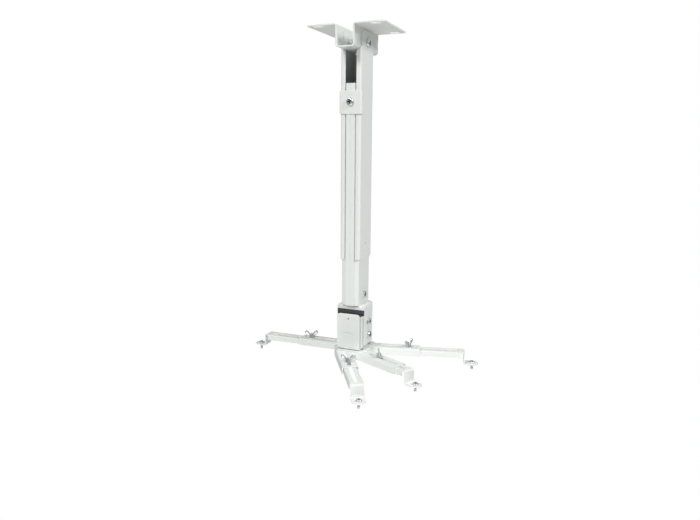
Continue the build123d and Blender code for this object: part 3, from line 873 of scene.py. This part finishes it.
@dataclass(frozen=True)
class Reading:
    """What a fastener's solid says of its place: its axis, its ends along it and its widest angle."""

    middle: np.ndarray
    direction: Direction
    low: float
    high: float
    widest_angle: float

    @classmethod
    def of(cls, points: np.ndarray, direction: Direction) -> "Reading":
        """Read one solid along a direction.

        The middle is that of the box across the direction, and the widest angle is that of the point
        furthest from the axis.

        Args:
            points: the solid's vertices.
            direction: the way that it faces.

        Returns:
            The reading.
        """
        axes = axis_frame(direction)
        local = points @ axes.T
        centre = (local.min(0) + local.max(0)) / 2
        off = local[:, :2] - centre[:2]
        widest = off[np.argmax((off**2).sum(1))]
        middle = np.array([centre[0], centre[1], 0.0]) @ axes
        low, high = local[:, 2].min(), local[:, 2].max()
        return cls(middle, direction, low, high, math.atan2(widest[1], widest[0]))

    def seat(self, level: float, twist: float = 0.0) -> Seat:
        """Give a seat on the axis at a level along it."""
        return Seat(tuple(self.middle + np.array(self.direction) * level), self.direction, twist)

    def below(self, level: float) -> float:
        """Give how far the solid reaches below a level, in millimetres."""
        return (level - self.low) / MM


def by_sign(node: str, axes: tuple[int, ...]) -> list[np.ndarray]:
    """Part a CAD node's solids by the signs of their coordinates.

    Args:
        node: name of the node.
        axes: coordinate numbers whose signs differ from one solid to the next.

    Returns:
        The vertices of each solid.
    """
    points = node_points(node)
    key = np.zeros(len(points), int)
    for place, axis in enumerate(axes):
        key += (points[:, axis] > 0).astype(int) << place
    return [points[key == value] for value in np.unique(key)]


def facing(node: str, direction: Direction, axes: tuple[int, ...] = ()) -> list[Reading]:
    """Read a CAD node's solids, parted by the signs along the axes, which all face one way."""
    return [Reading.of(points, direction) for points in by_sign(node, axes)]


def sideways(node: str, outward: bool) -> list[Reading]:
    """Read a pair of fasteners at the right and left.

    Args:
        node: CAD node of the pair.
        outward: whether they face away from the middle, as screws do, or towards it.

    Returns:
        The readings of the right one and of the left one.
    """
    left, right = by_sign(node, (0,))
    way = 1 if outward else -1
    return [Reading.of(right, (way, 0, 0)), Reading.of(left, (-way, 0, 0))]


def turned_screws(
    node: str,
    body: str,
    size: FastenerSize,
    solids: list[Reading],
    twist: float = 0.5,
    neck: tuple[float, float] = (0.0, 0.0),
) -> None:
    """Replace a node's plain screws by turned ones with cross recess and thread.

    Args:
        node: CAD node.
        body: CAD body.
        size: the screws' size.
        solids: a reading of each screw, along the way that its head faces.
        twist: turn of the first recess; each next one is turned as much again.
        neck: radius and length of a plain shoulder under the head.
    """
    surfaces = []
    for number, seen in enumerate(solids, start=1):
        level = seen.high - size.head_height * MM
        surfaces.append(pan_screw(size, seen.seat(level, twist * number), seen.below(level), neck))
    seat_piece(make_piece(f"{node}_turned", surfaces), node, body, ZINC)


def turned_nuts(node: str, body: str, size: FastenerSize, form: NutForm, solids: list[Reading]) -> None:
    """Replace a node's plain nuts by chamfered ones that keep its flats' directions.

    Args:
        node: CAD node.
        body: CAD body.
        size: the screw that the nuts fit.
        form: hexagon or square.
        solids: a reading of each nut, along the way that it faces.
    """
    surfaces = []
    for seen in solids:
        surfaces.append(nut(size, seen.seat(seen.low, seen.widest_angle - np.pi / form.value), form))
    seat_piece(make_piece(f"{node}_chamfered", surfaces), node, body, ZINC)


def side_pair(name: str, body: str, size: FastenerSize, twist: float = 0.5) -> None:
    """Replace a pair of screws at the right and left, and the hexagon nuts on their inner ends.

    Args:
        name: what the names of both CAD nodes start with.
        body: CAD body.
        size: the screws' size.
        twist: turn of the first recess.
    """
    turned_screws(f"{name}_screws", body, size, sideways(f"{name}_screws", True), twist)
    turned_nuts(f"{name}_nuts", body, size, NutForm.HEXAGON, sideways(f"{name}_nuts", False))


@dataclass
class CeilingBracket:
    """Hat-shaped bracket on the ceiling, with the column's pivot screws and their nuts in its trough."""

    body: str = "ceiling"
    pivot: FastenerSize = M6

    def build(self) -> None:
        """Make the pivot screws and nuts."""
        side_pair("column_pivot", self.body, self.pivot)

    def dress(self) -> None:
        """Coat the folded sheet."""
        soften("ceiling_bracket", self.body, COAT)


@dataclass(frozen=True)
class CutOutCorner:
    """Corner of the cut-out at the column's top, where the wall rises beside the trough's bend to the ear.

    Sizes are in millimetres: the column's section, the level of its cut, and the bend's middle and reach
    along x and z. The corner is sunk a little into the wall below and set in from the wall's faces.
    """

    half_width: float = 15.5
    half_depth: float = 24.25
    wall: float = 1.5
    corner: float = 3.0
    cut_level: float = -31.9
    bend_middle: tuple[float, float] = (9.25, -26.4)
    bend_reach: tuple[float, float] = (4.85, 5.5)
    sunk: float = 0.4
    inset: float = 0.01

    def surface(self, right: int, back: int) -> Surface:
        """Sweep the wall's section along the back or front wall and round the column's corner.

        The top follows the lower half of an ellipse about the bend's middle: it lies under it by the reach
        along z times the root of 1 - (distance along x / reach along x) squared.

        Args:
            right: 1 for the right corner, -1 for the left.
            back: 1 for the back corner, -1 for the front.

        Returns:
            The corner's surface, closed at both ends.
        """
        straight, bent = 6, 10
        middle_x, middle_y = self.half_width - self.corner, self.half_depth - self.corner
        start = self.bend_middle[0] - middle_x
        shift = np.concatenate([np.linspace(start, 0, straight), np.zeros(bent)])
        turn = np.concatenate([np.full(straight, np.pi / 2), np.linspace(np.pi / 2, 0, bent + 1)[1:]])
        rings = np.array([self.corner - self.wall + self.inset, self.corner - self.inset])
        x = middle_x + shift[:, None] + rings * np.cos(turn)[:, None]
        y = middle_y + rings * np.sin(turn)[:, None]
        off = (x.mean(axis=1) - self.bend_middle[0]) / self.bend_reach[0]
        top = self.bend_middle[1] - self.bend_reach[1] * np.sqrt(np.clip(1 - off**2, 0, None))
        low = np.full_like(top, self.cut_level - self.sunk)
        levels = np.stack([low, top, top, low], axis=1)
        loop = np.stack([x[:, [0, 0, 1, 1]] * right, y[:, [0, 0, 1, 1]] * back, levels], axis=-1)
        ends = loop[[0, -1]].mean(axis=1, keepdims=True) + 0 * loop[:1]
        return Surface(np.concatenate([ends[:1], loop, ends[1:]]) * MM)


@dataclass
class Column:
    """Outer C-channel, inner box section, clamp collar, and the saddle that joins the head to its foot."""

    outer_body: str = "outer"
    inner_body: str = "inner"
    clamp: FastenerSize = M6
    saddle: FastenerSize = M5
    cut_out: CutOutCorner = CutOutCorner()

    def build(self) -> None:
        """Make the clamp screw and its square nut, the saddle's screws, nuts and bolts, and the cut-out."""
        body = self.inner_body
        turned_screws("clamp_screw", body, self.clamp, facing("clamp_screw", FRONT), twist=0.25)
        turned_nuts("clamp_nut", body, self.clamp, NutForm.SQUARE, facing("clamp_nut", BACK))
        side_pair("saddle", body, self.saddle)
        turned_screws("saddle_bolts", body, self.saddle, facing("saddle_bolts", UP, (1,)))
        self.build_cut_out()

    def build_cut_out(self) -> None:
        """Make the four corners of the cut-out that the trough sits in, which move with the outer column."""
        corners = [self.cut_out.surface(right, back) for right in (1, -1) for back in (1, -1)]
        seat_piece(make_piece("outer_column_cut_out_corners", corners), None, self.outer_body, OUTER_COAT)

    def dress(self) -> None:
        """Coat the sheets; the sections' insides turn grey, partly bare steel and partly painted shade."""
        soften("outer_column", self.outer_body, OUTER_COAT)
        soften("inner_column", self.inner_body, INNER_COAT, 0.2)
        soften("clamp_collar", self.inner_body, COAT, 0.15)
        soften("column_saddle", self.inner_body, COAT)


@dataclass
class TiltHead:
    """Yoke with its friction block, the tilt bracket in it, and the swivel bolt with its washer."""

    upper_body: str = "inner"
    body: str = "tilt_head"
    pivot: FastenerSize = M6
    lock: FastenerSize = M5
    swivel: FastenerSize = M8

    def build(self) -> None:
        """Make the tilt pivots, the lock screws, and the swivel bolt and its nut."""
        for name, size in (("tilt_pivot", self.pivot), ("tilt_lock", self.lock)):
            side_pair(name, self.body, size, twist=0.7)
        turned_nuts("swivel_nut", self.body, self.swivel, NutForm.HEXAGON, facing("swivel_nut", DOWN))
        self.build_swivel_bolt()

    def build_swivel_bolt(self) -> None:
        """Make the hexagon bolt that the hub swivels on."""
        (seen,) = facing("swivel_bolt", UP)
        level = seen.high - self.swivel.head_height * MM
        seat = seen.seat(level, seen.widest_angle - np.pi / NutForm.HEXAGON.value)
        bolt = hexagon_bolt(self.swivel, seat, seen.below(level))
        seat_piece(make_piece("swivel_bolt_turned", [bolt]), "swivel_bolt", self.body, ZINC)

    def dress(self) -> None:
        """Coat the two brackets, and give the block and the washer their moulded finish."""
        soften("head_yoke", self.upper_body, COAT, 0.2)
        soften("friction_block", self.upper_body, NYLON, 0.25, inside=True)
        soften("tilt_bracket", self.body, COAT, 0.2)
        soften("swivel_washer", self.body, NYLON, 0.2)


@dataclass
class Hub:
    """Hub plate with a countersunk pivot screw and a nut for each arm."""

    body: str = "hub"
    pivot: FastenerSize = M6
    cone: float = 2.0
    twist: float = 0.4

    def build(self) -> None:
        """Make the arms' pivot screws and their nuts."""
        surfaces = []
        for number, seen in enumerate(facing("arm_pivot_screws", UP, (0, 1)), start=1):
            seat = seen.seat(seen.high, self.twist * number)
            surfaces.append(countersunk_screw(self.pivot, seat, seen.below(seen.high), self.cone))
        screws = make_piece("arm_pivot_screws_turned", surfaces)
        seat_piece(screws, "arm_pivot_screws", self.body, ZINC)
        nuts = facing("arm_pivot_nuts", DOWN, (0, 1))
        turned_nuts("arm_pivot_nuts", self.body, self.pivot, NutForm.HEXAGON, nuts)

    def dress(self) -> None:
        """Coat the plate."""
        soften("hub_plate", self.body, COAT)


@dataclass
class SpiderArm:
    """One arm with its sliding leg, wing screw, square nut and foot screw; sizes in millimetres.

    The neck is the radius and length of the foot screw's plain shoulder. The wing screw has a tapered boss
    and two ears, each of which runs from a root beside the axis to a tip.
    """

    name: str
    foot: FastenerSize = M4
    wing: FastenerSize = M5
    neck: tuple[float, float] = (2.6, 1.5)
    foot_twist: float = 0.6
    boss_radius: float = 4.3
    boss_chamfer: float = 0.3
    neck_radius: float = 3.4
    boss_height: float = 6.5
    boss_round: float = 0.8
    root_radius: float = 2.4
    root_rise: float = 3.5
    tip_radius: float = 2.8
    tip_reach: float = 7.7
    tip_rise: float = 8.7
    ear_half: float = 1.1

    def build(self) -> None:
        """Make the foot screw, the wing screw and its square nut."""
        screw = f"foot_screw_{self.name}"
        turned_screws(
            screw, f"leg_{self.name}", self.foot, facing(screw, UP), self.foot_twist, self.neck
        )
        self.build_wing_screw()
        wing_nut = f"wing_nut_{self.name}"
        turned_nuts(wing_nut, f"arm_{self.name}", self.wing, NutForm.SQUARE, facing(wing_nut, DOWN))

    def build_wing_screw(self) -> None:
        """Make the cast wing screw: a turned boss and shank, and two ears turned as the solid's are."""
        node = f"wing_screw_{self.name}"
        (seen,) = facing(node, UP)
        level = seen.high - (self.tip_rise + self.tip_radius) * MM
        seat = seen.seat(level, seen.widest_angle)
        surfaces = [self.boss(seat, seen.below(level))]
        surfaces += [self.ear(seat, side) for side in (1, -1)]
        seat_piece(make_piece(f"{node}_cast", surfaces), node, f"wing_{self.name}", ZINC)

    def boss(self, seat: Seat, length: float) -> Surface:
        """Turn the boss and the threaded shank from one profile.

        The boss tapers from its foot to its neck and rounds over in a quarter circle to a flat top.

        Args:
            seat: middle of the boss's foot.
            length: shank length below it, in millimetres.

        Returns:
            The turned surface.
        """
        flat = self.neck_radius - self.boss_round
        foot = self.boss_radius - self.boss_chamfer
        radius, height = stack_rows(
            profile((0.0, self.boss_height), (flat, self.boss_height)),
            rounded_edge(flat, self.boss_height, self.boss_round, 5),
            profile((self.boss_radius, self.boss_chamfer), (foot, 0.0), (self.wing.root, 0.0)),
            threaded_shank(self.wing, 0.0, length),
        )
        return Surface(seat.turn(radius, turn_angles(), height))

    def ear(self, seat: Seat, side: int) -> Surface:
        """Sweep one ear of the wing along the line from its root to its tip.

        Along the line the half width runs from the root's radius to the tip's and closes at both ends in a
        half circle; across it the section is a flattened ellipse that thins towards the ends.

        Args:
            seat: middle of the boss's foot.
            side: 1 or -1.

        Returns:
            The ear's surface.
        """
        rows, columns = 26, 24
        flatness, thinning = 0.6, 0.5
        root = np.array([self.root_radius, self.root_rise])
        tip = np.array([self.tip_reach, self.tip_rise])
        span = float(np.linalg.norm(tip - root))
        along = (tip - root) / span
        across = np.array([-along[1], along[0]])
        share = (1 - np.cos(np.linspace(0, np.pi, rows))) / 2
        reach = -self.root_radius + share * (self.root_radius + span + self.tip_radius)
        straight = self.root_radius + (self.tip_radius - self.root_radius) * np.clip(reach / span, 0, 1)
        over = np.where(reach < 0, -reach, np.clip(reach - span, 0, None))
        half = np.sqrt(np.clip(straight**2 - over**2, 0, None))
        angle = turn_angles(columns)
        bulge = np.sign(np.sin(angle)) * np.abs(np.sin(angle)) ** flatness
        width = half[:, None] * np.cos(angle)
        thick = self.ear_half * (half[:, None] / straight[:, None]) ** thinning * bulge
        radial = root[0] + along[0] * reach[:, None] + across[0] * width
        rise = root[1] + along[1] * reach[:, None] + across[1] * width
        return Surface(seat.place(np.stack([side * radial, thick, rise], axis=-1)))

    def dress(self) -> None:
        """Coat the arm and the leg."""
        soften(f"arm_{self.name}", f"arm_{self.name}", COAT)
        soften(f"leg_{self.name}", f"leg_{self.name}", COAT)


@dataclass(frozen=True)
class Lamp:
    """A square soft light: its place and edge in metres, its power in watts, and whether gloss mirrors it."""

    name: str
    place: Point
    edge: float
    power: float
    mirrored: bool = True

    def hang(self, aim: Vector) -> None:
        """Add the lamp to the scene.

        Args:
            aim: the point that it faces.
        """
        lamp = bpy.data.lights.new(self.name, "AREA")
        lamp.shape = "SQUARE"
        lamp.size = self.edge
        lamp.energy = self.power
        holder = bpy.data.objects.new(self.name, lamp)
        holder.location = self.place
        holder.rotation_euler = (aim - Vector(self.place)).to_track_quat("-Z", "Y").to_euler()
        holder.visible_glossy = self.mirrored
        bpy.context.scene.collection.objects.link(holder)


@dataclass
class Studio:
    """Pale floor far below, soft lights, a white surround and the camera; places in metres."""

    focal_px: float = 609.7
    frame_width_px: float = 700.0
    sensor_mm: float = 36.0
    clip: tuple[float, float] = (0.01, 100.0)
    place: Point = (0.3327, -0.8381, -0.1591)
    yaw_deg: float = 22.2
    pitch_deg: float = 10.79
    roll_deg: float = 0.38
    floor_level: float = -1.25
    floor_radius: float = 0.75
    backdrop: str = "FFFFFF"
    surround: str = "FBFEFF"
    surround_below: float = 0.3
    surround_above: float = 0.37
    aim: Point = (0.0, 0.0, -0.25)
    lamps: tuple[Lamp, ...] = (
        Lamp("key_light", (-0.78, -2.48, 1.94), 0.9, 58.0),
        Lamp("side_light", (2.8, -0.6, 1.6), 0.9, 61.0),
        Lamp("low_light", (0.2, -0.55, -0.8), 0.4, 1.1),
        Lamp("back_light", (-0.9, 2.4, -0.5), 1.2, 16.0, mirrored=False),
    )

    def build(self) -> None:
        """Make the floor, the surround, the lights and the camera."""
        self.build_floor()
        self.build_surround()
        for lamp in self.lamps:
            lamp.hang(Vector(self.aim))
        self.build_camera()
        bpy.context.scene.view_settings.view_transform = "Standard"

    def build_floor(self) -> None:
        """Lay a flat round floor: rings of growing radius about the mount's axis."""
        rings, columns = 6, 96
        radius = np.linspace(0, self.floor_radius, rings)[:, None]
        angle = turn_angles(columns)
        level = np.full((rings, columns), self.floor_level)
        grid = np.stack([radius * np.cos(angle), radius * np.sin(angle), level], axis=-1)
        floor = make_piece("studio_floor", [Surface(grid)])
        if floor.data.polygons[0].normal.z < 0:
            floor.data.flip_normals()
        floor.data.materials.append(FLOOR.material())
        LOG.info("laid %s in %s", floor.name, FLOOR.name)

    def build_surround(self) -> None:
        """Light the scene from a white surround, brighter above than below; the camera sees plain white."""
        world = bpy.data.worlds.new("studio_surround")
        world.use_nodes = True
        tree = world.node_tree
        tree.nodes.clear()
        white = add_node(tree, "ShaderNodeBackground", {"Color": linear(self.backdrop), "Strength": 1.0})
        way = add_node(tree, "ShaderNodeTexCoord").outputs["Generated"]
        levels = {
            "Value": add_node(tree, "ShaderNodeSeparateXYZ", {0: way}).outputs["Z"],
            "From Min": -1.0,
            "From Max": 1.0,
            "To Min": self.surround_below,
            "To Max": self.surround_above,
        }
        strength = add_node(tree, "ShaderNodeMapRange", levels).outputs[0]
        soft = add_node(tree, "ShaderNodeBackground", {"Color": linear(self.surround), "Strength": strength})
        seen = add_node(tree, "ShaderNodeLightPath").outputs["Is Camera Ray"]
        both = add_node(tree, "ShaderNodeMixShader", {0: seen, 1: soft.outputs[0], 2: white.outputs[0]})
        add_node(tree, "ShaderNodeOutputWorld", {"Surface": both.outputs[0]})
        bpy.context.scene.world = world

    def build_camera(self) -> None:
        """Set the camera at the photograph's angle."""
        lens = bpy.data.cameras.new("photo_camera")
        lens.sensor_width = self.sensor_mm
        lens.lens = self.focal_px / self.frame_width_px * self.sensor_mm
        lens.clip_start, lens.clip_end = self.clip
        camera = bpy.data.objects.new("photo_camera", lens)
        turn = (
            Matrix.Rotation(math.radians(self.yaw_deg), 3, "Z")
            @ Matrix.Rotation(math.radians(90 - self.pitch_deg), 3, "X")
            @ Matrix.Rotation(math.radians(self.roll_deg), 3, "Z")
        )
        camera.location = self.place
        camera.rotation_euler = turn.to_euler()
        bpy.context.scene.collection.objects.link(camera)
        bpy.context.scene.camera = camera


def main() -> None:
    """Build the sub-assemblies in order, then the studio, and report each piece."""
    assemblies = [CeilingBracket(), Column(), TiltHead(), Hub()]
    assemblies += [SpiderArm(name) for name in ("front_left", "front_right", "right", "left")]
    for assembly in assemblies:
        assembly.build()
        assembly.dress()
    Studio().build()


if __name__ == "__main__":
    logging.basicConfig(level=logging.INFO, format="%(name)s: %(message)s")
    main()
